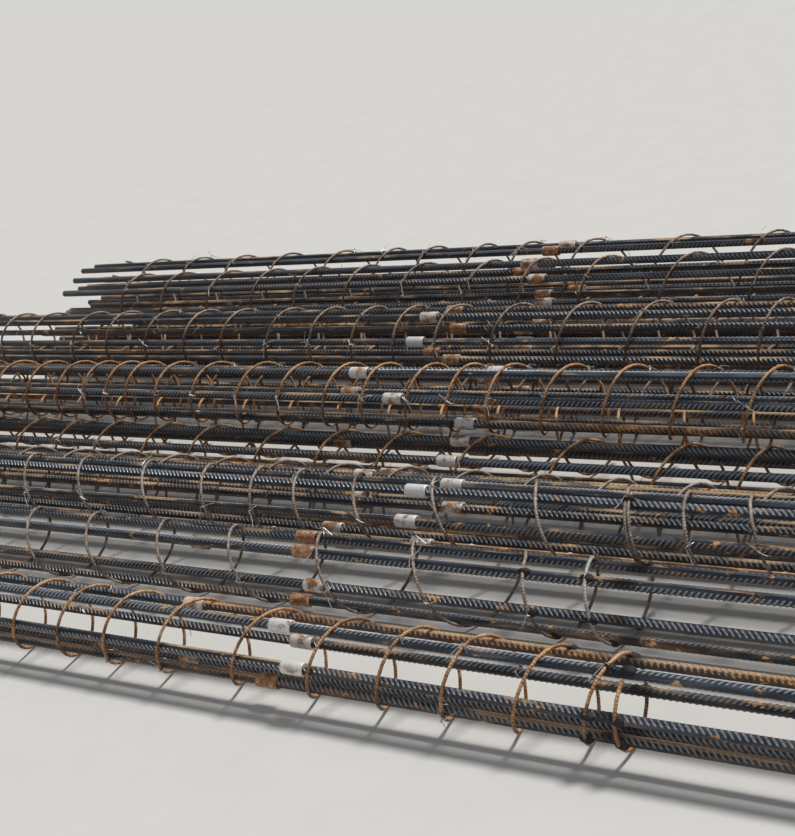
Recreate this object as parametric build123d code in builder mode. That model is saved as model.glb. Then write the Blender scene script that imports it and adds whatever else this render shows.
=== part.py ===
"""A heap of round reinforcement cages for concrete piles, lying side by side in two layers.

Each cage has six long ribbed bars, one spiral of thin wire wound round them and a threaded
sleeve on each bar where two lengths meet. X runs along the cages and Y across the heap, to
the rear. Z is up, and the origin is on the floor under the middle of the heap. Millimetres.
"""
from build123d import *
from dataclasses import dataclass
from itertools import cycle
import math
import os

# One cage
bar_diameter = 22.0
bar_count = 6
wire_diameter = 8.0
cage_diameter = 200.0
cage_length = 6000.0
bar_clearance = 0.4
end_margin = 70.0

# The sleeves that join two lengths of bar, and how far their ends keep from the wire's middle
sleeve_diameter = 34.0
sleeve_length = 62.0
sleeve_clearance = 0.3
sleeve_chamfer = 2.0
sleeve_to_wire = 16.0
butt_gap = 2.0

# How the spiral is wound: each corner of its path is rounded over this share of a run
corners_per_turn = 6
rounded_share = 0.49
winding_slack = 0.1

# How the heap is stacked
stack_gap = 0.05

cage_radius = cage_diameter / 2
bar_radius = bar_diameter / 2
wire_radius = wire_diameter / 2
sleeve_radius = sleeve_diameter / 2
winding_radius = cage_radius - wire_radius - winding_slack
bar_circle = winding_radius - wire_radius - bar_clearance - bar_radius
nest_distance = cage_diameter + stack_gap


@dataclass
class Cage:
    """One cage. Lengths along it are counted from its left end, angles from its top to its front."""

    name: str
    setback: float
    lean: int
    bar_angles: tuple
    splices: tuple
    usual_turn: float
    first_seen: float
    seen_turns: tuple = ()
    runs_on: bool = True
    gap_before: float = 0.0
    y: float = 0.0
    z: float = cage_radius


def even_angles(first):
    """Bars at equal angles, the first one given."""
    return tuple(first + 360 / bar_count * k for k in range(bar_count))


def staggered(middle):
    """Splices on either side of a place, as the cages that hardly show have them."""
    return tuple(middle + offset for offset in (0, 60, -40, 90, -70, 30))


def lay_row(row):
    """Places the cages of the floor row side by side, each with its gap to the one before it."""
    front = -sum(cage.gap_before + cage_diameter for cage in row) / 2
    for cage in row:
        cage.y = front + cage.gap_before + cage_radius
        front = cage.y + cage_radius


def nest(cage, front, rear):
    """Lays a cage in the groove between two cages of the floor row."""
    half_step = (rear.y - front.y) / 2
    cage.y = (front.y + rear.y) / 2
    cage.z = cage_radius + math.sqrt(nest_distance ** 2 - half_step ** 2)


# The floor row, front to rear
cage_a = Cage("cage_a", 0, -1, (10, -49, -110, -170, 119, 78), (2723, 2389, 2707, 2325, 2688, 2785), 190,
              1910, (160, 160, 190, 250, 210, 180, 160, 180, 150, 40), runs_on=False)
cage_b = Cage("cage_b", 80, 1, even_angles(25), (2502, 2570, 2435, 2400, 2010, 2440), 260,
              1455, (240, 270, 250, 290, 285, 310, 160, 128), runs_on=False, gap_before=140)
cage_c_rest = Cage("cage_c_rest", 160, -1, even_angles(5), staggered(2330), 209, 134, gap_before=168)
cage_d = Cage("cage_d", 40, -1, even_angles(48), (2631, 2500, 2560, 2430, 2171, 2632), 210,
              925, (189, 182, 218, 200, 282, 218, 218, 276, 292, 296), gap_before=4)
cage_e_rest = Cage("cage_e_rest", 90, 1, even_angles(33), staggered(2500), 189, 149, gap_before=1)
cage_f_front = Cage("cage_f_front", 130, -1, even_angles(12), staggered(2400), 203, 119, gap_before=49)
cage_f_rest = Cage("cage_f_rest", 30, -1, even_angles(52), staggered(2480), 231, 96, gap_before=1)
cage_g_front = Cage("cage_g_front", 150, 1, even_angles(20), staggered(2300), 188, 138, gap_before=4)
cage_g_rest = Cage("cage_g_rest", 70, -1, even_angles(40), staggered(2330), 192, 217, gap_before=2)
cage_h_rest = Cage("cage_h_rest", 200, -1, even_angles(0), staggered(2330), 197, 99, gap_before=56)
floor_row = [cage_a, cage_b, cage_c_rest, cage_d, cage_e_rest, cage_f_front, cage_f_rest, cage_g_front,
             cage_g_rest, cage_h_rest]

# The upper row, front to rear
cage_c = Cage("cage_c", 180, 1, even_angles(14), (2620, 2610, 2623, 2290, 2648, 2658), 210,
              1190, (230, 260, 230, 180, 140, 190, 240, 290, 240, 140, 150))
cage_e = Cage("cage_e", 100, -1, even_angles(10), (2226, 2369, 2566, 2594, 2105, 2602), 160,
              890, (143, 116, 104, 90, 140, 160, 188, 159, 172, 129, 163, 129, 127, 183, 177, 195, 195))
cage_f = Cage("cage_f", 70, -1, even_angles(22), (2240, 2201, 2254, 2210, 2264, 2310), 185,
              314, (168, 238, 160, 204, 184, 168, 212, 176, 170, 160, 159, 216, 230, 228, 217, 156, 155))
cage_g = Cage("cage_g", 280, -1, even_angles(50), (2174, 2238, 2159, 2161, 2047, 2164), 235,
              181, (210, 214, 242, 215, 204, 228, 237, 275, 195, 235, 294, 285, 270))
cage_h = Cage("cage_h", 140, -1, even_angles(22), (2283, 2250, 2350, 2300, 2208, 2309), 230,
              1100, (263, 239, 178, 212, 181, 241, 334, 304, 278))

lay_row(floor_row)
nest(cage_c, cage_b, cage_c_rest)
nest(cage_e, cage_d, cage_e_rest)
nest(cage_f, cage_f_front, cage_f_rest)
nest(cage_g, cage_g_front, cage_g_rest)
nest(cage_h, cage_g_rest, cage_h_rest)

cages = floor_row + [cage_c, cage_e, cage_f, cage_g, cage_h]
heap_length = cage_length + max(cage.setback for cage in cages)


def left_end(cage):
    """Where the cage's left end is along X."""
    return cage.setback - heap_length / 2


def turn_tops(cage):
    """Where the spiral passes the top of its cage, from the left end to the right."""
    tops = [cage.first_seen]
    while tops[0] - cage.usual_turn > end_margin:
        tops.insert(0, tops[0] - cage.usual_turn)
    for step in cage.seen_turns:
        tops.append(tops[-1] + step)
    while cage.runs_on and tops[-1] + cage.usual_turn < cage_length - end_margin:
        tops.append(tops[-1] + cage.usual_turn)
    return tops


def wire_place(tops, turns):
    """How far along the cage the wire is after a number of turns."""
    whole = min(int(turns), len(tops) - 2)
    return tops[whole] + (tops[whole + 1] - tops[whole]) * (turns - whole)


def on_cage(cage, along, radius, angle):
    """A point beside the cage's axis, its angle in radians from the top to the front."""
    across = cage.y - radius * math.sin(angle)
    return Vector(left_end(cage) + along, across, cage.z + radius * math.cos(angle))


def spiral_corners(cage):
    """The corners of the many-sided path that the spiral rounds off."""
    half_turn = math.pi / corners_per_turn
    corner_radius = winding_radius / (1 - 2 * rounded_share * (1 - math.cos(half_turn)))
    tops = turn_tops(cage)
    count = (len(tops) - 1) * corners_per_turn
    return [
        on_cage(cage, wire_place(tops, k / corners_per_turn), corner_radius, cage.lean * 2 * half_turn * k)
        for k in range(count + 1)
    ]


def spiral_edges(corners):
    """Arcs round the corners, joined by short straight runs, from the first run's middle to the last's."""
    edges = []
    here = (corners[0] + corners[1]) / 2
    for before, corner, after in zip(corners, corners[1:], corners[2:]):
        to_before = before - corner
        to_after = after - corner
        reach = rounded_share * min(to_before.length, to_after.length)
        half_bend = math.radians(180 - to_before.get_angle(to_after)) / 2
        arc_radius = reach / math.tan(half_bend)
        inward = (to_before.normalized() + to_after.normalized()).normalized()
        start = corner + to_before.normalized() * reach
        middle = corner + inward * arc_radius * (1 / math.cos(half_bend) - 1)
        end = corner + to_after.normalized() * reach
        edges.append(Line(here, start, mode=Mode.PRIVATE))
        edges.append(ThreePointArc(start, middle, end, mode=Mode.PRIVATE))
        here = end
    edges.append(Line(here, (corners[-2] + corners[-1]) / 2, mode=Mode.PRIVATE))
    return edges


def bar_splices(cage):
    """The middle of each bar's sleeve: its splice, moved along if the wire passes too near."""
    tops = turn_tops(cage)
    reach = sleeve_length / 2 + sleeve_to_wire
    places = []
    for angle, splice in zip(cage.bar_angles, cycle(cage.splices)):
        first_pass = (cage.lean * angle / 360) % 1
        passes = [wire_place(tops, first_pass + k) for k in range(len(tops) - 1)]
        clear = [(a + reach, b - reach) for a, b in zip(passes, passes[1:]) if b - a >= 2 * reach]
        nearest = [min(max(splice, low), high) for low, high in clear]
        places.append(min(nearest, key=lambda place: abs(place - splice)))
    return places


def make_bars(cage):
    """Both lengths of each long bar, which stop a little short of each other inside the sleeve."""
    with BuildPart() as bars:
        for angle, splice in zip(cage.bar_angles, bar_splices(cage)):
            stretches = ((0, splice - butt_gap / 2), (splice + butt_gap / 2, cage_length))
            for start, end in stretches:
                foot = on_cage(cage, start, bar_circle, math.radians(angle))
                with BuildSketch(Plane(origin=foot, x_dir=(0, 1, 0), z_dir=(1, 0, 0))):
                    Circle(bar_radius)
                extrude(amount=end - start)
    return bars.part


def make_spiral(cage):
    """The wire wound round the bars."""
    with BuildPart() as spiral:
        with BuildLine() as path:
            add(spiral_edges(spiral_corners(cage)))
        with BuildSketch(Plane(origin=path.wire() @ 0, z_dir=path.wire() % 0)):
            Circle(wire_radius)
        sweep()
    return spiral.part


def make_sleeves(cage):
    """The threaded sleeve on each bar."""
    with BuildPart() as sleeves:
        for angle, splice in zip(cage.bar_angles, bar_splices(cage)):
            foot = on_cage(cage, splice - sleeve_length / 2, bar_circle, math.radians(angle))
            with BuildSketch(Plane(origin=foot, x_dir=(0, 1, 0), z_dir=(1, 0, 0))):
                Circle(sleeve_radius)
                Circle(bar_radius + sleeve_clearance, mode=Mode.SUBTRACT)
            extrude(amount=sleeve_length)
        circles = sleeves.edges().filter_by(GeomType.CIRCLE)
        rims = circles.filter_by(lambda edge: edge.radius > (bar_radius + sleeve_radius) / 2)
        chamfer(rims, sleeve_chamfer)
    return sleeves.part


os.makedirs("parts", exist_ok=True)
for cage in cages:
    for kind, make in (("bars", make_bars), ("spiral", make_spiral), ("sleeves", make_sleeves)):
        piece = make(cage)
        piece.label = f"{cage.name}_{kind}"
        export_step(piece, f"parts/{piece.label}.step")
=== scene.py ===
"""Dresses a heap of reinforcement cages: ribbed bars, wound wire, sleeves, tie wire, welds and rust.

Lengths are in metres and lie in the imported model's frame: X runs along the cages, Y to the
heap's rear and Z up from the floor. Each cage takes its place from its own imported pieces.
"""
import math
import random
from dataclasses import dataclass

import bmesh
import bpy
from mathutils import Euler, Matrix, Vector


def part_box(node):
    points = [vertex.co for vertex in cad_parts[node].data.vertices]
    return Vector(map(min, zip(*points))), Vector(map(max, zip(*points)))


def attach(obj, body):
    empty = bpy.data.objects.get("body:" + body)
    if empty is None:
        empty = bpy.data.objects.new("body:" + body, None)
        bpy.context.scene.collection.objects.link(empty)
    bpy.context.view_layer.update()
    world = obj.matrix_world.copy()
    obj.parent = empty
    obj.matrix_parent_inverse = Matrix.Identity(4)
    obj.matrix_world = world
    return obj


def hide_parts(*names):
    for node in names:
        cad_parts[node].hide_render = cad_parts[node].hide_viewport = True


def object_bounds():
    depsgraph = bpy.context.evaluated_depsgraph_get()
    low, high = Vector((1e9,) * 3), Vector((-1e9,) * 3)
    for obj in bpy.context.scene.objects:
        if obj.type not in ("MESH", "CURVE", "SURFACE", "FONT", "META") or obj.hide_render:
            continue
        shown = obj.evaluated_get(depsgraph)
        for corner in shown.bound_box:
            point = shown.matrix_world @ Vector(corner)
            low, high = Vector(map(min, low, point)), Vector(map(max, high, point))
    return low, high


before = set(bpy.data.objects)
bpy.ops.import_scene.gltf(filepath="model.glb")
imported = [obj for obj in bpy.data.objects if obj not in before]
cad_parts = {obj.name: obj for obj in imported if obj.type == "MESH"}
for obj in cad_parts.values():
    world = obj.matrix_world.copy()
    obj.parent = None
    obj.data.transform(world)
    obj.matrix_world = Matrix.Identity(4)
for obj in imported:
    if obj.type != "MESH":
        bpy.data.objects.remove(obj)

cad_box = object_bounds()

# The pieces of a cage
BAR_RADIUS = 0.011
WIRE_RADIUS = 0.004
CAGE_LENGTH = 6.0
SLEEVE_RADIUS = 0.017
SLEEVE_LENGTH = 0.062
SLEEVE_CHAMFER = 0.0025
SLEEVE_CLEARANCE = 0.0004
WINDING_SLACK = 0.0006
SLEEVE_TO_WIRE = 0.016
BAR_CLEARANCE = 0.0004
END_MARGIN = 0.070
BUTT_GAP = 0.002

# The ribs rolled on to a bar
RIB_SPACING = 0.0140
RIB_HEIGHT = 0.0015
RIB_WIDTH = 0.0084
RIB_TOP_WIDTH = 0.0042
RIB_HALF_SPAN = math.radians(70)
RIB_SLANT = 0.0115
RIB_FOOT = 0.0006
SEAM_HEIGHT = 0.0011
SEAM_HALF_SPAN = math.radians(8)

# How finely things are drawn
BAR_SIDES = 16
WIRE_SIDES = 8
WIRE_STEPS_PER_TURN = 28
SLEEVE_SIDES = 32
TIE_SIDES = 5

# How far a bar is turned for a tint of 1, and each sleeve or bead against the one before it
TINT_TURN = 6.0
SLEEVE_TURN = 0.9
BEAD_TURN = 0.7

# The spiral's fine ribs, and how far its wire strays along the cage
WIRE_RIB_SPACING = 0.0075
WIRE_STRAY = 0.012

# Knots of tie wire: how they clear bar and wire, and how their loop is drawn
TIE_RADIUS = 0.0009
TIE_SHARE = 0.42
TIE_KINDS = 9
TIE_SHORT_KINDS = 3
TIE_BESIDE_BAR = 0.0022
TIE_BELOW_BAR = 0.0015
TIE_ABOVE_WIRE = 0.0004
TIE_LOOP_STEPS = 18
TIE_TWIST_STEPS = 4
TIE_TWIST_TURNS = 1.5
TIE_OPENING = 0.35
TIE_BEND = 0.007
UNDERSIDE = -0.7

# Weld beads, the soot beside them and the strand that is lapped on cage C
WELD_RADIUS = 0.0125
WELD_DEPTH = 0.002
WELD_BESIDE_WIRE = 0.004
WELD_LUMPS = 14
SOOT_BEFORE_TOP = 0.03
LAP_TURNS = (14.0, 14.45)
LAP_WELD_AT = 0.03
LAP_CLEARANCE = 0.0006

# The camera, where the photographer stood: from the left end of cage G and the middle of cage A
CAMERA_FROM_END = 4.500
CAMERA_TO_HEAP = 2.100
CAMERA_HEIGHT = 1.779
CAMERA_YAW = math.radians(37.31)
CAMERA_PITCH = math.radians(21.96)
CAMERA_ROLL = math.radians(-14.05)
CAMERA_FOCAL_PIXELS = 1440.0
FRAME_HEIGHT_PIXELS = 836.0
SENSOR = 36.0
CAMERA_REACH = 100.0

# The floor and the daylight
FLOOR_HALF = 60.0
SKY_COLOUR = (0.92, 0.95, 1.0, 1.0)
SKY_STRENGTH = 0.32
SUN_COLOUR = (1.0, 0.98, 0.94)
SUN_STRENGTH = 2.7
SUN_WIDTH = math.radians(11)
SUN_DIRECTION = (-1.5, -2.6, -5.0)

SHARP_EDGE = math.radians(38)
PI = math.pi


@dataclass
class Cage:
    """One cage: lengths from its left end, angles in degrees from its top to its front.

    bar_rust has a pair for each bar, for its left and its right length, and sleeve_rust a
    number for each bar's sleeve. 0 is clean and 1 is rusty all over.
    """

    name: str
    lean: int
    bar_angles: tuple
    splices: tuple
    usual_turn: float
    first_seen: float
    seen_turns: tuple = ()
    runs_on: bool = True
    wire: str = "brown_wire"
    bright_end: float = 0.0
    raised_ribs: bool = False
    bar_rust: tuple = ((0.6, 0.55), (0.7, 0.6), (0.6, 0.7), (0.55, 0.6), (0.7, 0.55), (0.6, 0.6))
    sleeve_rust: tuple = (0.5, 0.8, 0.6, 0.9, 0.4, 0.7)


def even_angles(first):
    """Six bars at equal angles, the first one given."""
    return tuple(first + 60 * k for k in range(6))


def staggered(middle):
    """Splices on either side of a place, as the cages that hardly show have them."""
    return tuple(middle + offset for offset in (0, 0.06, -0.04, 0.09, -0.07, 0.03))


CAGES = [
    Cage("cage_a", -1, (10, -49, -110, -170, 119, 78), (2.723, 2.389, 2.707, 2.325, 2.688, 2.785), 0.19,
         1.91, (0.16, 0.16, 0.19, 0.25, 0.21, 0.18, 0.16, 0.18, 0.15, 0.04), runs_on=False,
         wire="orange_wire", raised_ribs=True,
         bar_rust=((0.20, 0.15), (0.25, 0.88), (0.50, 0.55), (0.60, 0.50), (0.60, 0.50), (0.45, 0.35)),
         sleeve_rust=(0.42, 0.50, 0.35, 0.60, 0.95, 0.22)),
    Cage("cage_b", 1, even_angles(25), (2.502, 2.57, 2.435, 2.4, 2.01, 2.44), 0.26,
         1.455, (0.24, 0.27, 0.25, 0.29, 0.285, 0.31, 0.16, 0.128), runs_on=False,
         wire="grey_wire", bright_end=0.62, raised_ribs=True,
         bar_rust=((0.25, 0.15), (0.50, 0.35), (0.60, 0.50), (0.60, 0.60), (0.50, 0.40), (0.40, 0.30)),
         sleeve_rust=(0.85, 0.60, 0.95, 0.70, 0.55, 0.80)),
    Cage("cage_c_rest", -1, even_angles(5), staggered(2.33), 0.209, 0.134, wire="grey_wire"),
    Cage("cage_d", -1, even_angles(48), (2.631, 2.5, 2.56, 2.43, 2.171, 2.632), 0.21,
         0.925, (0.189, 0.182, 0.218, 0.2, 0.282, 0.218, 0.218, 0.276, 0.292, 0.296), wire="orange_wire",
         bar_rust=((0.40, 0.30), (0.45, 0.35), (0.50, 0.45), (0.60, 0.60), (0.50, 0.40), (0.40, 0.30)),
         sleeve_rust=(0.20, 0.60, 0.80, 0.50, 0.70, 0.40)),
    Cage("cage_e_rest", 1, even_angles(33), staggered(2.5), 0.189, 0.149, wire="orange_wire"),
    Cage("cage_f_front", -1, even_angles(12), staggered(2.4), 0.203, 0.119),
    Cage("cage_f_rest", -1, even_angles(52), staggered(2.48), 0.231, 0.096),
    Cage("cage_g_front", 1, even_angles(20), staggered(2.3), 0.188, 0.138),
    Cage("cage_g_rest", -1, even_angles(40), staggered(2.33), 0.192, 0.217),
    Cage("cage_h_rest", -1, even_angles(0), staggered(2.33), 0.197, 0.099),
    Cage("cage_c", 1, even_angles(14), (2.62, 2.61, 2.623, 2.29, 2.648, 2.658), 0.21,
         1.19, (0.23, 0.26, 0.23, 0.18, 0.14, 0.19, 0.24, 0.29, 0.24, 0.14, 0.15),
         wire="grey_wire", raised_ribs=True,
         bar_rust=((0.30, 0.20), (0.50, 0.40), (0.55, 0.95), (0.60, 0.60), (0.60, 0.50), (0.40, 0.30)),
         sleeve_rust=(0.0, 0.45, 0.35, 0.5, 0.55, 0.25)),
    Cage("cage_e", -1, even_angles(10), (2.226, 2.369, 2.566, 2.594, 2.105, 2.602), 0.16,
         0.89, (0.143, 0.116, 0.104, 0.09, 0.14, 0.16, 0.188, 0.159, 0.172, 0.129, 0.163, 0.129, 0.127, 0.183,
                0.177, 0.195, 0.195), wire="orange_wire", raised_ribs=True,
         bar_rust=((0.40, 0.20), (0.45, 0.35), (0.45, 0.60), (0.60, 0.60), (0.55, 0.40), (0.45, 0.35)),
         sleeve_rust=(0.35, 0.45, 0.30, 0.85, 0.55, 0.20)),
    Cage("cage_f", -1, even_angles(22), (2.24, 2.201, 2.254, 2.21, 2.264, 2.31), 0.185,
         0.314, (0.168, 0.238, 0.16, 0.204, 0.184, 0.168, 0.212, 0.176, 0.17, 0.16, 0.159, 0.216, 0.23, 0.228,
                 0.217, 0.156, 0.155),
         bar_rust=((0.50, 0.35), (0.35, 0.30), (0.45, 0.40), (0.60, 0.60), (0.55, 0.40), (0.45, 0.55)),
         sleeve_rust=(0.55, 0.10, 0.80, 0.90, 0.85, 0.70)),
    Cage("cage_g", -1, even_angles(50), (2.174, 2.238, 2.159, 2.161, 2.047, 2.164), 0.235,
         0.181, (0.21, 0.214, 0.242, 0.215, 0.204, 0.228, 0.237, 0.275, 0.195, 0.235, 0.294, 0.285, 0.27),
         bar_rust=((0.40, 0.30), (0.40, 0.35), (0.45, 0.40), (0.60, 0.60), (0.45, 0.40), (0.40, 0.30)),
         sleeve_rust=(0.60, 0.55, 0.80, 0.70, 0.95, 0.60)),
    Cage("cage_h", -1, even_angles(22), (2.283, 2.25, 2.35, 2.3, 2.208, 2.309), 0.23,
         1.10, (0.263, 0.239, 0.178, 0.212, 0.181, 0.241, 0.334, 0.304, 0.278),
         bar_rust=((0.35, 0.35), (0.40, 0.30), (0.45, 0.40), (0.60, 0.60), (0.45, 0.40), (0.40, 0.35)),
         sleeve_rust=(0.90, 0.80, 0.70, 0.90, 0.85, 0.60)),
]


class Placed:
    """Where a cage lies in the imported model, and where its turns and splices are."""

    def __init__(self, cage):
        self.cage = cage
        low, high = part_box(cage.name + "_spiral")
        self.y = (low.y + high.y) / 2
        self.z = (low.z + high.z) / 2
        self.winding_radius = (high.y - low.y) / 2 - WIRE_RADIUS - WINDING_SLACK
        self.bar_circle = self.winding_radius + WINDING_SLACK - WIRE_RADIUS - BAR_CLEARANCE - BAR_RADIUS
        self.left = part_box(cage.name + "_bars")[0].x
        self.tops = self.turn_tops()

    def turn_tops(self):
        """Where the spiral passes the top of the cage, from its left end to its right."""
        cage = self.cage
        tops = [cage.first_seen]
        while tops[0] - cage.usual_turn > END_MARGIN:
            tops.insert(0, tops[0] - cage.usual_turn)
        for step in cage.seen_turns:
            tops.append(tops[-1] + step)
        while cage.runs_on and tops[-1] + cage.usual_turn < CAGE_LENGTH - END_MARGIN:
            tops.append(tops[-1] + cage.usual_turn)
        return tops

    def wire_place(self, turns):
        """How far along the cage the wire is after a number of turns."""
        whole = min(int(turns), len(self.tops) - 2)
        return self.tops[whole] + (self.tops[whole + 1] - self.tops[whole]) * (turns - whole)

    def point(self, along, radius, angle):
        """A point beside the cage's axis, its angle in radians from the top to the front."""
        across, up = self.y - radius * math.sin(angle), self.z + radius * math.cos(angle)
        return Vector((self.left + along, across, up))

    def passes(self, angle):
        """Where the wire passes a bar at this angle in degrees, one place for each turn."""
        first_pass = (self.cage.lean * angle / 360) % 1
        return [self.wire_place(first_pass + k) for k in range(len(self.tops) - 1)]

    def splices(self):
        """The middle of each bar's sleeve: its splice, moved along if the wire passes too near."""
        reach = SLEEVE_LENGTH / 2 + SLEEVE_TO_WIRE
        places = []
        for angle, splice in zip(self.cage.bar_angles, self.cage.splices):
            passes = self.passes(angle)
            clear = [(a + reach, b - reach) for a, b in zip(passes, passes[1:]) if b - a >= 2 * reach]
            nearest = [min(max(splice, low), high) for low, high in clear]
            places.append(min(nearest, key=lambda place: abs(place - splice)))
        return places


class Value:
    """A number that varies over a surface, with the arithmetic that its material needs."""

    def __init__(self, paint, socket):
        self.paint = paint
        self.socket = socket

    def maths(self, operation, other, swapped=False):
        """This value and another through a Math node."""
        first, second = (other, self) if swapped else (self, other)
        return self.paint.node("ShaderNodeMath", {"operation": operation}, {0: first, 1: second})

    def __add__(self, other):
        return self.maths("ADD", other)

    def __radd__(self, other):
        return self.maths("ADD", other, swapped=True)

    def __sub__(self, other):
        return self.maths("SUBTRACT", other)

    def __rsub__(self, other):
        return self.maths("SUBTRACT", other, swapped=True)

    def __mul__(self, other):
        return self.maths("MULTIPLY", other)

    def __rmul__(self, other):
        return self.maths("MULTIPLY", other, swapped=True)

    def __truediv__(self, other):
        return self.maths("DIVIDE", other)


class Paint:
    """A material under way."""

    def __init__(self, name):
        self.material = bpy.data.materials.new(name)
        self.material.use_nodes = True
        self.tree = self.material.node_tree
        self.tree.nodes.clear()

    def node(self, kind, settings=None, sockets=None, output=0):
        """A node of any type: its settings first, then the values or links of its sockets."""
        made = self.tree.nodes.new(kind)
        for key, value in (settings or {}).items():
            if key == "stops":
                self.set_stops(made.color_ramp, value)
            else:
                setattr(made, key, value)
        for key, value in (sockets or {}).items():
            socket = made.inputs[key]
            if isinstance(value, Value):
                self.tree.links.new(value.socket, socket)
            else:
                socket.default_value = value
        return Value(self, made.outputs[output]) if made.outputs else made

    @staticmethod
    def set_stops(ramp, stops):
        """Gives a ramp these places and colours."""
        while len(ramp.elements) < len(stops):
            ramp.elements.new(1.0)
        for element, (place, colour) in zip(ramp.elements, stops):
            element.position = place
            element.color = (*colour, 1.0)

    def place(self):
        """The surface point, in metres."""
        return self.node("ShaderNodeTexCoord", output="Object")

    def split(self, vector, axis):
        """One part of a vector."""
        return self.node("ShaderNodeSeparateXYZ", sockets={0: vector}, output=axis)

    def attribute(self, name):
        """A number stored on the mesh."""
        return self.node("ShaderNodeAttribute", {"attribute_name": name}, output="Fac")

    def noise(self, vector, stretch, detail=4.0, roughness=0.6, shift=None):
        """Noise from 0 to 1, with this many lumps a metre along each axis."""
        stretched = self.node("ShaderNodeVectorMath", {"operation": "MULTIPLY"}, {0: vector, 1: stretch})
        if shift is not None:
            moved = self.node("ShaderNodeCombineXYZ", sockets={"X": shift, "Y": shift, "Z": shift})
            stretched = self.node("ShaderNodeVectorMath", {"operation": "ADD"}, {0: stretched, 1: moved})
        sockets = {"Vector": stretched, "Scale": 1.0, "Detail": detail, "Roughness": roughness}
        return self.node("ShaderNodeTexNoise", {"noise_dimensions": "3D"}, sockets, output="Fac")

    def between(self, value, low, high):
        """0 below low, 1 above high and a smooth step between."""
        settings = {"interpolation_type": "SMOOTHSTEP"}
        return self.node("ShaderNodeMapRange", settings, {"Value": value, "From Min": low, "From Max": high})

    def ramp(self, value, stops):
        """A colour for each value."""
        return self.node("ShaderNodeValToRGB", {"stops": stops}, {"Fac": value}, output="Color")

    def blend(self, share, first, second):
        """One colour over another."""
        first, second = (c if isinstance(c, Value) else (*c, 1.0) for c in (first, second))
        settings = {"data_type": "RGBA", "blend_type": "MIX"}
        return self.node("ShaderNodeMix", settings, {0: share, 6: first, 7: second}, output=2)

    def bump(self, height, distance, strength=1.0, normal=None):
        """A surface raised by this many metres where the height is 1."""
        sockets = {"Height": height, "Distance": distance, "Strength": strength}
        if normal is not None:
            sockets["Normal"] = normal
        return self.node("ShaderNodeBump", sockets=sockets)

    def finish(self, **sockets):
        """Ends the material in a Principled shader with these sockets."""
        named = {key.replace("_", " "): value for key, value in sockets.items()}
        shader = self.node("ShaderNodeBsdfPrincipled", sockets=named)
        self.node("ShaderNodeOutputMaterial", sockets={"Surface": shader})
        return self.material


SCALE_STOPS = (
    (0.30, (0.016, 0.018, 0.021)),
    (0.50, (0.040, 0.048, 0.057)),
    (0.72, (0.105, 0.124, 0.146)),
)
BLUE_STOPS = (
    (0.30, (0.022, 0.027, 0.034)),
    (0.50, (0.056, 0.069, 0.088)),
    (0.72, (0.140, 0.168, 0.205)),
)
# Pale rib tops: partly worn steel, partly a painted highlight.
CREST_WEAR_AND_HIGHLIGHT_STOPS = (
    (0.30, (0.185, 0.208, 0.235)),
    (0.62, (0.560, 0.605, 0.660)),
)
BROWN_STOPS = (
    (0.30, (0.045, 0.030, 0.022)),
    (0.55, (0.125, 0.082, 0.055)),
    (0.78, (0.280, 0.180, 0.110)),
)
ORANGE_STOPS = (
    (0.30, (0.230, 0.095, 0.036)),
    (0.50, (0.480, 0.220, 0.082)),
    (0.70, (0.680, 0.390, 0.170)),
)
# Tan on the bars' upward face: partly dust, partly a painted highlight.
TOP_DUST_AND_HIGHLIGHT_STOPS = (
    (0.35, (0.340, 0.190, 0.090)),
    (0.55, (0.600, 0.400, 0.230)),
    (0.70, (0.760, 0.640, 0.480)),
)
WIRE_ORANGE_STOPS = (
    (0.34, (0.090, 0.044, 0.026)),
    (0.50, (0.400, 0.195, 0.082)),
    (0.66, (0.720, 0.440, 0.235)),
)
WIRE_BROWN_STOPS = (
    (0.34, (0.075, 0.048, 0.035)),
    (0.50, (0.290, 0.185, 0.125)),
    (0.66, (0.580, 0.430, 0.320)),
)
WIRE_GREY_STOPS = (
    (0.34, (0.090, 0.062, 0.047)),
    (0.50, (0.250, 0.190, 0.150)),
    (0.66, (0.500, 0.430, 0.370)),
)
WIRE_SILVER_STOPS = (
    (0.34, (0.160, 0.125, 0.100)),
    (0.50, (0.400, 0.365, 0.330)),
    (0.68, (0.640, 0.620, 0.590)),
)
SLEEVE_STEEL_STOPS = (
    (0.30, (0.66, 0.64, 0.61)),
    (0.70, (0.92, 0.91, 0.89)),
)
SLEEVE_RUST_STOPS = (
    (0.30, (0.110, 0.048, 0.026)),
    (0.50, (0.380, 0.175, 0.075)),
    (0.68, (0.660, 0.440, 0.270)),
)
TIE_STOPS = (
    (0.35, (0.42, 0.40, 0.37)),
    (0.60, (0.82, 0.82, 0.80)),
)
WELD_STOPS = (
    (0.40, (0.012, 0.012, 0.013)),
    (0.64, (0.035, 0.030, 0.027)),
    (0.85, (0.200, 0.100, 0.055)),
)
SOOT = (0.018, 0.017, 0.017)
FLOOR_STOPS = (
    (0.30, (0.64, 0.63, 0.61)),
    (0.70, (0.67, 0.66, 0.64)),
)


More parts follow.
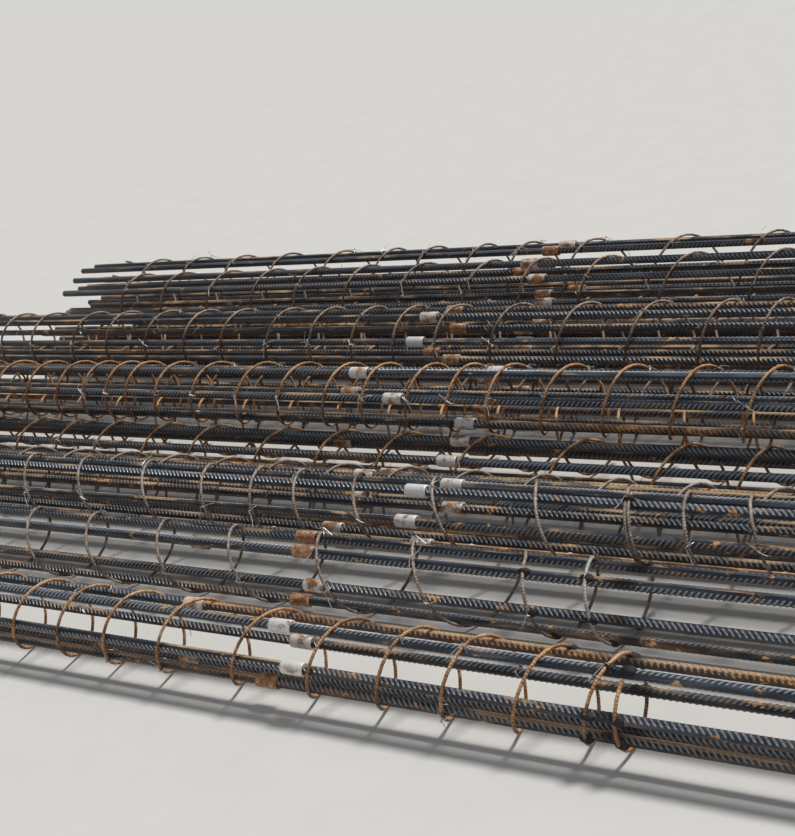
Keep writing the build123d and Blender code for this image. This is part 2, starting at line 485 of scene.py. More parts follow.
def rib_pattern(paint, place, twist):
    """The height of two rows of slanting crescents and two seams on a bar that runs along X."""
    normal = paint.node("ShaderNodeTexCoord", output="Normal")
    across = paint.split(normal, "Y") * -1.0
    upward = paint.split(normal, "Z")
    angle = across.maths("ARCTAN2", upward) - twist
    half_turns = (angle / PI + 0.5).maths("FLOOR", 0.0)
    second_row = (half_turns * 0.5).maths("FRACT", 0.0) * 2.0
    share = (angle - half_turns * PI) / RIB_HALF_SPAN
    crescent = (1.0 - share * share).maths("MAXIMUM", 0.0)
    slant = share * (1.0 - second_row * 2.0) * (RIB_SLANT / RIB_SPACING)
    along = paint.split(place, "X") / RIB_SPACING + second_row * 0.5 + slant
    from_crest = (along.maths("FRACT", 0.0) - 0.5).maths("ABSOLUTE", 0.0)
    ridge = 1.0 - paint.between(from_crest, 0.08, 0.30)
    seam = paint.between(share.maths("ABSOLUTE", 0.0), 1.16, 1.26)
    return (ridge * crescent).maths("MAXIMUM", seam * 0.6)


def paint_bars(name, raised, soot_at=None):
    """Blue-grey mill scale, with pale rib tops that are partly worn steel and partly a painted highlight, a
    brown film that is browner towards the underside, tan streaks along the upward face that are partly dust
    and partly a painted highlight, and stretches of orange rust.
    """
    paint = Paint(name)
    place = paint.place()
    tint = paint.attribute("tint")
    rust = paint.attribute("rust")
    upward = paint.split(paint.node("ShaderNodeTexCoord", output="Normal"), "Z")
    stretches = paint.noise(place, (1.1, 14.0, 14.0), 2.0, 0.5, shift=tint * 40.0)
    blotches = paint.noise(place, (24.0, 48.0, 48.0), 4.0, 0.62, shift=tint * 17.0)
    streaks = paint.noise(place, (7.0, 70.0, 70.0), 4.0, 0.6, shift=tint * 9.0)
    grit = paint.noise(place, (330.0, 330.0, 330.0), 3.0, 0.6)
    crest = paint.attribute("crest") if raised else rib_pattern(paint, place, tint * TINT_TURN)
    clean = 1.0 - paint.between(rust, 0.22, 0.50)
    scale = paint.blend(clean, paint.ramp(streaks, SCALE_STOPS), paint.ramp(streaks, BLUE_STOPS))
    # The rib tops are painted pale: partly worn steel, partly a painted highlight.
    pale = paint.ramp(streaks * 0.6 + grit * 0.4, CREST_WEAR_AND_HIGHLIGHT_STOPS)
    steel = paint.blend(crest * (1.0 - rust * 0.85), scale, pale)
    # A brown film in patches, browner towards the underside.
    film_patches = streaks + blotches * 0.5 + stretches * 0.5 - upward * 0.16 + rust * 0.55
    film = paint.between(film_patches, 1.10, 1.38)
    # The brown film is also painted lighter on the rib tops, a painted highlight.
    colour = paint.blend(film * 0.72, steel, paint.ramp(blotches + crest * 0.14, BROWN_STOPS))
    orange = paint.ramp(blotches * 0.8 + grit * 0.2, ORANGE_STOPS)
    heavy = paint.between(rust, 0.80, 0.95)
    wide = paint.between(stretches + rust * 0.32 + heavy * 0.16, 0.78, 0.90)
    spots = paint.between(blotches + wide * 0.10 + crest * 0.035, 0.640, 0.700)
    rusted = (wide * (0.18 + crest * 0.77)).maths("MAXIMUM", spots)
    # Tan streaks along the bars' upward face: partly dust, partly a painted highlight.
    top_patches = paint.noise(place, (4.5, 18.0, 18.0), 3.0, 0.6, shift=tint * 23.0)
    dust_and_highlight = paint.between(top_patches + rust * 0.20, 0.60, 0.72) * paint.between(upward + streaks * 0.4, 0.92, 1.14)
    colour = paint.blend(rusted, colour, orange)
    colour = paint.blend(dust_and_highlight * 0.80, colour, paint.ramp(streaks * 0.5 + grit * 0.5, TOP_DUST_AND_HIGHLIGHT_STOPS))
    if soot_at is not None:
        beside = (paint.split(place, "X") - soot_at).maths("ABSOLUTE", 0.0)
        soot = 1.0 - paint.between(beside + grit * 0.01, 0.014, 0.055)
        colour = paint.blend(soot * 0.85, colour, SOOT)
    rusted = rusted.maths("MAXIMUM", dust_and_highlight * 0.8)
    roughness = 0.42 - crest * 0.10 + film * 0.15 + rusted * 0.28 + grit * 0.10
    metal = 0.45 - film * 0.30 - rusted * 0.14
    skin = paint.bump(grit * 0.4 + rusted * 0.5, 0.0005, 0.5)
    if not raised:
        skin = paint.bump(crest, RIB_HEIGHT, 1.0, skin)
    return paint.finish(Base_Color=colour, Roughness=roughness, Metallic=metal, Normal=skin)


def paint_wire(name, stops, metal):
    """Thin ribbed wire, rusty all over or dull grey with brown rust, and silver where it ends bright, with
    painted highlights on its tops and its fine ribs.
    """
    paint = Paint(name)
    place = paint.place()
    run = paint.attribute("run")
    bright = paint.attribute("bright")
    upward = paint.split(paint.node("ShaderNodeTexCoord", output="Normal"), "Z")
    blotches = paint.noise(place, (14.0, 14.0, 14.0), 4.0, 0.6)
    flecks = paint.noise(place, (85.0, 85.0, 85.0), 4.0, 0.6)
    grit = paint.noise(place, (420.0, 420.0, 420.0), 3.0, 0.6)
    wave = (run * (2 * PI / WIRE_RIB_SPACING)).maths("SINE", 0.0) * 0.5 + 0.5
    # Lighter on the wire's tops and on its fine rib crests: a painted highlight.
    mottle_and_highlight = blotches * 0.55 + flecks * 0.50 + grit * 0.10 + wave * 0.09 + upward * 0.11 - 0.15
    colour = paint.blend(bright, paint.ramp(mottle_and_highlight, stops), paint.ramp(mottle_and_highlight, WIRE_SILVER_STOPS))
    skin = paint.bump(wave + grit * 0.6, 0.0007, 0.9)
    return paint.finish(Base_Color=colour, Roughness=0.58 + grit * 0.2, Metallic=metal, Normal=skin)


def paint_sleeves():
    """Turned sleeves: some bright with a few stains, some rusted brown."""
    paint = Paint("sleeve_steel_turned")
    place = paint.place()
    rust = paint.attribute("rust")
    rim = paint.attribute("rim")
    blotches = paint.noise(place, (30.0, 45.0, 45.0), 5.0, 0.7)
    grit = paint.noise(place, (330.0, 330.0, 330.0), 3.0, 0.6)
    turning = paint.noise(place, (1500.0, 3.0, 3.0), 2.0, 0.5)
    rusted = paint.between(blotches + rust * 0.40 + grit * 0.10 - rim * 0.06, 0.62, 0.80)
    brown = paint.ramp(paint.noise(place, (60.0, 60.0, 60.0), 5.0, 0.65), SLEEVE_RUST_STOPS)
    colour = paint.blend(rusted, paint.ramp(turning, SLEEVE_STEEL_STOPS), brown)
    roughness = 0.44 + rusted * 0.36
    metal = 0.22 - rusted * 0.20
    skin = paint.bump(turning * 0.4 + grit * 0.5 + rusted, 0.0004, 0.6)
    return paint.finish(Base_Color=colour, Roughness=roughness, Metallic=metal, Normal=skin)


def paint_ties():
    """Thin galvanised tie wire."""
    paint = Paint("tie_wire_bright")
    spots = paint.noise(paint.place(), (90.0, 90.0, 90.0), 3.0, 0.6)
    colour = paint.ramp(spots, TIE_STOPS)
    return paint.finish(Base_Color=colour, Roughness=0.36 + spots * 0.2, Metallic=0.8)


def paint_welds():
    """Weld beads burnt black, with a rusty brown cast."""
    paint = Paint("weld_burnt")
    place = paint.place()
    burn = paint.noise(place, (170.0, 170.0, 170.0), 4.0, 0.6)
    colour = paint.ramp(burn, WELD_STOPS)
    skin = paint.bump(burn, 0.0012, 0.8)
    return paint.finish(Base_Color=colour, Roughness=0.55 + burn * 0.3, Metallic=0.2, Normal=skin)


class Growth:
    """A Geometry Nodes tree under way, whose named inputs are the sizes of what it grows."""

    def __init__(self, name, inputs):
        self.tree = bpy.data.node_groups.new(name, "GeometryNodeTree")
        face = self.tree.interface
        face.new_socket(name="Geometry", in_out="OUTPUT", socket_type="NodeSocketGeometry")
        face.new_socket(name="Geometry", in_out="INPUT", socket_type="NodeSocketGeometry")
        for label, kind in inputs.items():
            face.new_socket(name=label, in_out="INPUT", socket_type="NodeSocket" + kind)
        self.start = self.tree.nodes.new("NodeGroupInput")
        self.end = self.tree.nodes.new("NodeGroupOutput")

    def given(self, label):
        """One of the tree's named inputs."""
        return self.start.outputs[label]

    def node(self, kind, settings=None, sockets=None, output=0):
        """A node of any type: its settings first, then the values or links of its sockets."""
        made = self.tree.nodes.new(kind)
        for key, value in (settings or {}).items():
            setattr(made, key, value)
        for key, value in (sockets or {}).items():
            socket = made.inputs[key]
            if isinstance(value, bpy.types.NodeSocket):
                self.tree.links.new(value, socket)
            else:
                socket.default_value = value
        return made.outputs[output]

    def maths(self, operation, *values):
        """A number worked out from others."""
        return self.node("ShaderNodeMath", {"operation": operation}, dict(enumerate(values)))

    def stored(self, label, kind="FLOAT"):
        """What is stored on each point."""
        return self.node("GeometryNodeInputNamedAttribute", {"data_type": kind}, {"Name": label})

    def store(self, geometry, label, value):
        """Geometry with a number stored on its points."""
        return self.node("GeometryNodeStoreNamedAttribute", {"data_type": "FLOAT", "domain": "POINT"},
                         {"Geometry": geometry, "Name": label, "Value": value})

    def shape(self, label, **sockets):
        """The geometry of one of the given objects."""
        return self.node("GeometryNodeObjectInfo", {"transform_space": "ORIGINAL"},
                         {"Object": self.given(label), **sockets}, output="Geometry")

    def gather(self, kind, parts):
        """A node of this type that takes in several geometries."""
        made = self.tree.nodes.new(kind)
        for part in parts:
            self.tree.links.new(part, made.inputs[0])
        return made.outputs[0]

    def close(self, geometry):
        """Realizes the instances, gives them their material and ends the tree."""
        real = self.node("GeometryNodeRealizeInstances", sockets={"Geometry": geometry})
        sockets = {"Geometry": real, "Material": self.given("Material")}
        done = self.node("GeometryNodeSetMaterial", sockets=sockets)
        self.tree.links.new(done, self.end.inputs[0])
        return self.tree


def grow(source, tree, name, **values):
    """Runs a tree on an object and keeps the result as a plain mesh."""
    modifier = source.modifiers.new("grow", "NODES")
    modifier.node_group = tree
    labels = {label.replace("_", " ").lower(): value for label, value in values.items()}
    for item in tree.interface.items_tree:
        if item.item_type == "SOCKET" and item.in_out == "INPUT" and item.name.lower() in labels:
            modifier[item.identifier] = labels[item.name.lower()]
    bpy.context.view_layer.update()
    grown = source.evaluated_get(bpy.context.evaluated_depsgraph_get())
    mesh = bpy.data.meshes.new_from_object(grown, preserve_all_data_layers=True,
                                           depsgraph=bpy.context.evaluated_depsgraph_get())
    mesh.name = name
    source.modifiers.remove(modifier)
    piece = bpy.data.objects.new(name, mesh)
    bpy.context.scene.collection.objects.link(piece)
    bpy.data.objects.remove(source)
    return piece


def mesh_object(name, points, faces=(), numbers=None, vectors=None, edges=()):
    """An object of plain points, edges and faces, with numbers or vectors stored on its points."""
    mesh = bpy.data.meshes.new(name)
    mesh.from_pydata([tuple(p) for p in points], edges, faces)
    for label, values in (numbers or {}).items():
        mesh.attributes.new(label, "FLOAT", "POINT").data.foreach_set("value", list(values))
    for label, values in (vectors or {}).items():
        flat = [part for vector in values for part in vector]
        mesh.attributes.new(label, "FLOAT_VECTOR", "POINT").data.foreach_set("vector", flat)
    made = bpy.data.objects.new(name, mesh)
    bpy.context.scene.collection.objects.link(made)
    return made


def curve_object(name, lines):
    """An object of open lines."""
    curve = bpy.data.curves.new(name, "CURVE")
    curve.dimensions = "3D"
    for points in lines:
        spline = curve.splines.new("POLY")
        spline.points.add(len(points) - 1)
        for point, place in zip(spline.points, points):
            point.co = (*place, 1.0)
    made = bpy.data.objects.new(name, curve)
    bpy.context.scene.collection.objects.link(made)
    return made


def tube(path, radius, sides):
    """The points and faces of a closed tube along a path."""
    points, faces = [], []
    side = Vector((0.31, 0.57, 0.76))
    for k, here in enumerate(path):
        before, after = path[max(k - 1, 0)], path[min(k + 1, len(path) - 1)]
        along = (after - before).normalized()
        side = (side - along * side.dot(along)).normalized()
        other = along.cross(side)
        for s in range(sides):
            turn = 2 * PI * s / sides
            points.append(here + (side * math.cos(turn) + other * math.sin(turn)) * radius)
    for k in range(len(path) - 1):
        for s in range(sides):
            t = (s + 1) % sides
            faces.append((k * sides + s, k * sides + t, (k + 1) * sides + t, (k + 1) * sides + s))
    faces.append(tuple(reversed(range(sides))))
    faces.append(tuple(range((len(path) - 1) * sides, len(path) * sides)))
    return points, faces


def lathe_x(outline, sides):
    """The points and faces of an outline of (x, radius) turned round the X axis, closed on itself."""
    points, faces = [], []
    for x, radius in outline:
        for s in range(sides):
            turn = 2 * PI * s / sides
            points.append(Vector((x, radius * math.cos(turn), radius * math.sin(turn))))
    rows = len(outline)
    for k in range(rows):
        nxt = (k + 1) % rows
        for s in range(sides):
            t = (s + 1) % sides
            faces.append((k * sides + s, nxt * sides + s, nxt * sides + t, k * sides + t))
    return points, faces


def rib_shape(hand):
    """One crescent rib on a bar along X, slanting by hand, its foot inside the bar, its top marked."""
    points, crest = [], []

    def on_bar(share, shift, lift):
        angle = share * RIB_HALF_SPAN
        radius = BAR_RADIUS + lift
        return (hand * share * RIB_SLANT + shift, -radius * math.sin(angle), radius * math.cos(angle))

    for share in (-0.6, 0.0, 0.6):
        swell = 1.0 - 0.55 * share * share
        half_foot, half_top = RIB_WIDTH / 2 * (0.55 + 0.45 * swell), RIB_TOP_WIDTH / 2 * swell
        for shift, lift, top in ((-half_foot, -RIB_FOOT, 0.0), (-half_top, RIB_HEIGHT * swell, 1.0),
                                 (half_top, RIB_HEIGHT * swell, 1.0), (half_foot, -RIB_FOOT, 0.0)):
            points.append(on_bar(share, shift, lift))
            crest.append(top)
    for share in (-1.0, 1.0):
        points.append(on_bar(share, 0.0, -RIB_FOOT))
        crest.append(0.2)
    faces = []
    for k in (0, 4):
        faces += [(k + s, k + (s + 1) % 4, k + 4 + (s + 1) % 4, k + 4 + s) for s in range(4)]
    faces += [(12, (s + 1) % 4, s) for s in range(4)]
    faces += [(13, 8 + s, 8 + (s + 1) % 4) for s in range(4)]
    rib = mesh_object("rib_shape", points, faces, {"crest": crest})
    face_outward(rib.data)
    return rib


def bar_section():
    """The outline of a bar across its length: round, with a low seam on either side."""
    angles = []
    for side in (0.0, PI):
        angles += [(side - SEAM_HALF_SPAN, 0.0), (side, SEAM_HEIGHT), (side + SEAM_HALF_SPAN, 0.0)]
        steps = BAR_SIDES // 2 - 1
        room = PI - 2 * SEAM_HALF_SPAN
        angles += [(side + SEAM_HALF_SPAN + room * k / steps, 0.0) for k in range(1, steps)]
    curve = bpy.data.curves.new("bar_section", "CURVE")
    curve.dimensions = "3D"
    spline = curve.splines.new("POLY")
    spline.points.add(len(angles) - 1)
    for point, (angle, lift) in zip(spline.points, angles):
        radius = BAR_RADIUS + lift
        point.co = (radius * math.cos(angle), radius * math.sin(angle), 0.0, 1.0)
    spline.use_cyclic_u = True
    made = bpy.data.objects.new("bar_section", curve)
    bpy.context.scene.collection.objects.link(made)
    return made


def face_outward(mesh):
    """Turns every face of a closed mesh outwards."""
    shape = bmesh.new()
    shape.from_mesh(mesh)
    bmesh.ops.recalc_face_normals(shape, faces=shape.faces)
    shape.to_mesh(mesh)
    shape.free()


def sleeve_shape():
    """A turned sleeve with broken edges, slightly hollow end faces and a plain bore."""
    half = SLEEVE_LENGTH / 2
    bore = BAR_RADIUS + SLEEVE_CLEARANCE
    outline = [
        (-half, SLEEVE_RADIUS - SLEEVE_CHAMFER), (-half + 0.0006, SLEEVE_RADIUS - 0.0012),
        (-half + SLEEVE_CHAMFER, SLEEVE_RADIUS - 0.0002), (-half + 2 * SLEEVE_CHAMFER, SLEEVE_RADIUS),
        (0.0, SLEEVE_RADIUS - 0.0001),
        (half - 2 * SLEEVE_CHAMFER, SLEEVE_RADIUS), (half - SLEEVE_CHAMFER, SLEEVE_RADIUS - 0.0002),
        (half - 0.0006, SLEEVE_RADIUS - 0.0012), (half, SLEEVE_RADIUS - SLEEVE_CHAMFER),
        (half, bore + 0.0010), (half - 0.0015, bore), (-half + 0.0015, bore), (-half, bore + 0.0010),
    ]
    points, faces = lathe_x(outline, SLEEVE_SIDES)
    rim = [float(abs(point.x) > half - 2 * SLEEVE_CHAMFER) for point in points]
    sleeve = mesh_object("sleeve_shape", points, faces, {"rim": rim})
    face_outward(sleeve.data)
    return sleeve


def tie_shape(kind):
    """A knot of tie wire: a slanting loop round bar and wire, a short twist and two loose ends."""
    draw = random.Random(100 + kind)
    slant = math.radians(draw.choice((-1, 1)) * draw.uniform(30, 50))
    across = Vector((math.cos(slant), math.sin(slant), 0.0))
    half_width = BAR_RADIUS + TIE_BESIDE_BAR
    low, high = -BAR_RADIUS * 2 - WIRE_RADIUS - TIE_BELOW_BAR, WIRE_RADIUS + TIE_ABOVE_WIRE
    loop = []
    for k in range(TIE_LOOP_STEPS + 1):
        turn = PI / 2 + TIE_OPENING + (2 * PI - 2 * TIE_OPENING) * k / TIE_LOOP_STEPS
        height = (low + high) / 2 + (high - low) / 2 * math.sin(turn)
        loop.append(across * half_width * math.cos(turn) + Vector((0, 0, height)))
    outward = Vector((0, 0, 1))
    reach = 0.004 if kind < TIE_SHORT_KINDS else draw.uniform(0.004, 0.010)
    tail_turn = draw.uniform(0, 2 * PI)
    tails = []
    for sign in (0, 1):
        way = tail_turn + sign * draw.uniform(1.2, 3.6)
        lean = Vector((math.cos(way), math.sin(way), draw.uniform(-0.7, 0.3)))
        length = draw.uniform(0.014, 0.050)
        bend = Vector((draw.uniform(-1, 1), draw.uniform(-1, 1), draw.uniform(-0.9, 0.1))) * TIE_BEND
        twist = []
        for k in range(TIE_TWIST_STEPS + 1):
            turn = sign * PI + 2 * PI * TIE_TWIST_TURNS * k / TIE_TWIST_STEPS
            spin = across * math.cos(turn) + across.cross(outward) * math.sin(turn)
            rise = outward * reach * k / TIE_TWIST_STEPS
            twist.append(Vector((0, 0, high)) + rise + spin * TIE_RADIUS * 1.1)
        tail = [twist[-1] + lean * length * s + bend * math.sin(PI * s) for s in (0.33, 0.66, 1.0)]
        tails.append(twist + tail)
    path = list(reversed(tails[0])) + loop[1:-1] + tails[1]
    points, faces = tube(path, TIE_RADIUS, TIE_SIDES)
    knot = mesh_object(f"tie_shape_{kind}", points, faces)
    face_outward(knot.data)
    return knot


def weld_shape():
    """A lumpy bead."""
    shape = bmesh.new()
    bmesh.ops.create_icosphere(shape, subdivisions=3, radius=WELD_RADIUS)
    draw = random.Random(7)
    lumps = [(Vector((draw.uniform(-1, 1), draw.uniform(-1, 1), draw.uniform(-1, 1))).normalized(),
              draw.uniform(0.05, 0.35)) for _ in range(WELD_LUMPS)]
    for vertex in shape.verts:
        way = vertex.co.normalized()
        swell = 0.80 + sum(size * max(0.0, way.dot(lump) - 0.75) * 2.2 for lump, size in lumps)
        vertex.co = way * WELD_RADIUS * min(swell, 1.25)
        vertex.co.x *= 1.5
    mesh = bpy.data.meshes.new("weld_shape")
    shape.to_mesh(mesh)
    shape.free()
    made = bpy.data.objects.new("weld_shape", mesh)
    bpy.context.scene.collection.objects.link(made)
    return made


def bars_tree():
    """Bars along edges, each turned its own way, with two rows of crescent ribs where they are raised."""
    inputs = {"Section": "Object", "Rib spacing": "Float", "Bare end": "Float", "Raised ribs": "Bool",
              "Rib": "Object", "Opposite rib": "Object", "Material": "Material"}
    growth = Growth("ribbed bars", inputs)
    lines = growth.node("GeometryNodeMeshToCurve", sockets={"Mesh": growth.given("Geometry")})
    tint = growth.stored("tint")
    turned = growth.node("GeometryNodeSetCurveTilt",
                         sockets={"Curve": lines, "Tilt": growth.maths("MULTIPLY", tint, TINT_TURN)})
    skin = growth.node("GeometryNodeCurveToMesh",
                       sockets={"Curve": turned, "Profile Curve": growth.shape("Section"), "Fill Caps": True})
    skin = growth.node("GeometryNodeSetShadeSmooth", sockets={"Geometry": skin, "Shade Smooth": True})
    length = growth.node("GeometryNodeSplineLength", output="Length")
    last = growth.maths("SUBTRACT", length, growth.given("Bare end"))
    rows = []
    for row, shape in enumerate(("Rib", "Opposite rib")):
        first = growth.maths("ADD", growth.given("Bare end"), RIB_SPACING * 0.5 * row)
        ribbed = growth.node("GeometryNodeTrimCurve", {"mode": "LENGTH"}, {"Curve": lines, 4: first, 5: last})
        feet = growth.node("GeometryNodeCurveToPoints", {"mode": "LENGTH"},
                           {"Curve": ribbed, "Length": growth.given("Rib spacing")})
        around = growth.maths("MULTIPLY_ADD", tint, TINT_TURN, PI * row)
        turn = growth.node("ShaderNodeCombineXYZ", sockets={"X": around})
        spin = growth.node("FunctionNodeEulerToRotation", sockets={0: turn})
        rows.append(growth.node("GeometryNodeInstanceOnPoints",
                                sockets={"Points": feet, "Instance": growth.shape(shape), "Rotation": spin}))
    ribs = growth.gather("GeometryNodeJoinGeometry", rows)
    shown = growth.node("GeometryNodeSwitch", {"input_type": "GEOMETRY"},
                        {"Switch": growth.given("Raised ribs"), "True": ribs})
    return growth.close(growth.gather("GeometryNodeJoinGeometry", (skin, shown)))


def wire_tree():
    """Round wire along a line that strays a little, with the run of it stored for its fine ribs."""
    inputs = {"Wire radius": "Float", "Sides": "Int", "Stray": "Float", "Bright end": "Float", "Seed": "Int",
              "Material": "Material"}
    growth = Growth("wound wire", inputs)
    noise = growth.node("ShaderNodeTexNoise", {"noise_dimensions": "4D"},
                        {"W": growth.given("Seed"), "Scale": 5.0, "Detail": 1.0}, output="Color")
    centred = growth.node("ShaderNodeVectorMath", {"operation": "SUBTRACT"}, {0: noise, 1: (0.5, 0.5, 0.5)})
    only_along = growth.node("ShaderNodeVectorMath", {"operation": "MULTIPLY"},
                             {0: centred, 1: (1.0, 0.0, 0.0)})
    offset = growth.node("ShaderNodeVectorMath", {"operation": "SCALE"},
                         {0: only_along, "Scale": growth.given("Stray")})
    strayed = growth.node("GeometryNodeSetPosition",
                          sockets={"Geometry": growth.given("Geometry"), "Offset": offset})
    run = growth.node("GeometryNodeSplineParameter", output="Length")
    measured = growth.store(strayed, "run", run)
    left = growth.maths("SUBTRACT", growth.node("GeometryNodeSplineLength", output="Length"), run)
    at_end = growth.maths("LESS_THAN", left, growth.given("Bright end"))
    measured = growth.store(measured, "bright", at_end)
    ring = growth.node("GeometryNodeCurvePrimitiveCircle", {"mode": "RADIUS"},
                       {"Resolution": growth.given("Sides"), "Radius": growth.given("Wire radius")})
    skin = growth.node("GeometryNodeCurveToMesh",
                       sockets={"Curve": measured, "Profile Curve": ring, "Fill Caps": True})
    smooth = growth.node("GeometryNodeSetShadeSmooth", sockets={"Geometry": skin, "Shade Smooth": True})
    return growth.close(smooth)


def scatter_tree(name, kinds):
    """One of several shapes on each point, of the point's own kind and turned as its own vector says."""
    inputs = {f"Shape {k}": "Object" for k in range(kinds)}
    inputs |= {"Material": "Material"}
    growth = Growth(name, inputs)
    parts = [growth.shape(f"Shape {k}", **{"As Instance": True}) for k in reversed(range(kinds))]
    shapes = growth.gather("GeometryNodeGeometryToInstance", parts)
    spin = growth.node("FunctionNodeEulerToRotation", sockets={0: growth.stored("turn", "FLOAT_VECTOR")})
    placed = growth.node("GeometryNodeInstanceOnPoints",
                         sockets={"Points": growth.given("Geometry"), "Instance": shapes,
                                  "Pick Instance": kinds > 1, "Instance Index": growth.stored("kind", "INT"),
                                  "Rotation": spin})
    return growth.close(placed)


def settle(piece, node, material):
    """A finished piece: its material, its sharp edges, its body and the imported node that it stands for."""
    piece.data.materials.clear()
    piece.data.materials.append(material)
    piece.data.set_sharp_from_angle(angle=SHARP_EDGE)
    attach(piece, "root")
    if node:
        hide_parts(node)


def outward_turn(placed, angle):
    """The turn that stands a shape's Z axis out of the cage at this angle, with X along the cage."""
    outward = Vector((0, -math.sin(angle), math.cos(angle)))
    along = Vector((1, 0, 0))
    return Matrix((along, outward.cross(along), outward)).transposed().to_euler()


def make_bars(placed, tree, shapes, soot_at):
    """All of a cage's bars, each in two lengths."""
    cage = placed.cage
    draw = random.Random(cage.name + "_bars")
    points, edges, tints, rusts = [], [], [], []
    for angle, splice, rust_of_lengths in zip(cage.bar_angles, placed.splices(), cage.bar_rust):
        turn = math.radians(angle)
        lengths = ((0.0, splice - BUTT_GAP / 2), (splice + BUTT_GAP / 2, CAGE_LENGTH))
        for (start, end), rust in zip(lengths, rust_of_lengths):
            edges.append((len(points), len(points) + 1))
            points += [placed.point(along, placed.bar_circle, turn) for along in (start, end)]
            tints += [draw.random()] * 2
            rusts += [rust] * 2
    source = mesh_object("bar_lines", points, edges=edges, numbers={"tint": tints, "rust": rusts})
    material = paint_bars(f"rusty_bar_{cage.name}", cage.raised_ribs, soot_at)
    section, rib, opposite_rib = shapes
    piece = grow(source, tree, cage.name + "_ribbed_bars", section=section, rib_spacing=RIB_SPACING,
                 bare_end=RIB_SLANT + RIB_WIDTH / 2, raised_ribs=cage.raised_ribs, rib=rib,
                 opposite_rib=opposite_rib, material=material)
    settle(piece, cage.name + "_bars", material)


def make_wire(placed, tree, materials):
    """A cage's spiral."""
    cage = placed.cage
    count = (len(placed.tops) - 1) * WIRE_STEPS_PER_TURN
    margin = WIRE_STEPS_PER_TURN // 12
    line = []
    for k in range(margin, count - margin + 1):
        turns = k / WIRE_STEPS_PER_TURN
        around = cage.lean * 2 * PI * turns
        line.append(placed.point(placed.wire_place(turns), placed.winding_radius, around))
    material = materials[cage.wire]
    piece = grow(curve_object("wire_line", [line]), tree, cage.name + "_wound_wire", wire_radius=WIRE_RADIUS,
                 sides=WIRE_SIDES, stray=WIRE_STRAY, bright_end=cage.bright_end,
                 seed=sum(map(ord, cage.name)), material=material)
    node = cage.name + "_spiral"
    settle(piece, node, material)


def make_sleeves(placed, tree, shape, material):
    """A cage's sleeves, one on each bar."""
    cage = placed.cage
    feet = [placed.point(splice, placed.bar_circle, math.radians(angle))
            for angle, splice in zip(cage.bar_angles, placed.splices())]
    source = mesh_object("sleeve_places", feet, numbers={"rust": cage.sleeve_rust},
                         vectors={"turn": [(SLEEVE_TURN * k, 0.0, 0.0) for k in range(len(feet))]})
    piece = grow(source, tree, cage.name + "_turned_sleeves", shape_0=shape, material=material)
    settle(piece, cage.name + "_sleeves", material)


def in_heap(point):
    """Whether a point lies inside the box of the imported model."""
    low, high = cad_box
    return all(a <= p <= b for a, p, b in zip(low, point, high))


def make_ties(placed, tree, shapes, material):
    """Knots of tie wire where spiral and bars cross, at some places, none of them out of the heap's box."""
    cage = placed.cage
    draw = random.Random(cage.name)
    feet, turns, kinds = [], [], []
    for angle in cage.bar_angles:
        around = math.radians(angle)
        turn = outward_turn(placed, around)
        for along in placed.passes(angle):
            if draw.random() > TIE_SHARE or math.cos(around) < UNDERSIDE:
                continue
            foot = placed.point(along, placed.winding_radius, around)
            stand = Matrix.Translation(foot) @ turn.to_matrix().to_4x4()
            tried = draw.sample(range(len(shapes)), len(shapes))
            fitting = [k for k in tried if all(in_heap(stand @ v.co) for v in shapes[k].data.vertices)]
            if fitting:
                feet.append(foot)
                turns.append(turn)
                kinds.append(fitting[0])
    source = mesh_object("tie_places", feet, vectors={"turn": turns})
    source.data.attributes.new("kind", "INT", "POINT").data.foreach_set("value", kinds)
    named = {f"shape_{k}": shape for k, shape in enumerate(shapes)}
    piece = grow(source, tree, cage.name + "_tie_wire", material=material, **named)
    settle(piece, None, material)


def place_beads(name, places, tree, shape, material):
    """Weld beads at these places, but none that would leave the heap's box."""
    feet, turns = [], []
    for k, foot in enumerate(places):
        turn = Euler((BEAD_TURN * k, 0.0, 0.0))
        stand = Matrix.Translation(foot) @ turn.to_matrix().to_4x4()
        if all(in_heap(stand @ v.co) for v in shape.data.vertices):
            feet.append(foot)
            turns.append(turn)
    source = mesh_object("weld_places", feet, vectors={"turn": turns})
    piece = grow(source, tree, name, shape_0=shape, material=material)
    settle(piece, None, material)


def make_welds(placed, tree, shape, material):
    """Beads where the last turns of a spiral are welded to its bars."""
    radius = placed.winding_radius - WIRE_RADIUS - WELD_DEPTH
    places = [placed.point(along + WELD_BESIDE_WIRE, radius, math.radians(angle))
              for angle in placed.cage.bar_angles for along in placed.passes(angle)[-2:]]
    place_beads(placed.cage.name + "_welds", places, tree, shape, material)


def make_lap(placed, tree, material, one_shape, bead, weld_paint):
    """A second strand beside the spiral, where one coil of wire ends and the next is welded on."""
    beside = 2 * WIRE_RADIUS + LAP_CLEARANCE
    start, end = LAP_TURNS
    count = round((end - start) * WIRE_STEPS_PER_TURN)
    line = []
    for k in range(count + 1):
        turns = start + (end - start) * k / count
        around = placed.cage.lean * 2 * PI * turns
        line.append(placed.point(placed.wire_place(turns) + beside, placed.winding_radius, around))
    piece = grow(curve_object("lap_line", [line]), tree, placed.cage.name + "_lapped_wire",
                 wire_radius=WIRE_RADIUS, sides=WIRE_SIDES, stray=WIRE_STRAY, bright_end=0.0,
                 seed=sum(map(ord, placed.cage.name)), material=material)
    settle(piece, None, material)
    middle = placed.cage.lean * 2 * PI * (start + LAP_WELD_AT)
    spot = placed.point(placed.wire_place(start + LAP_WELD_AT) + beside / 2, placed.winding_radius, middle)
    place_beads(placed.cage.name + "_lap_weld", [spot], one_shape, bead, weld_paint)


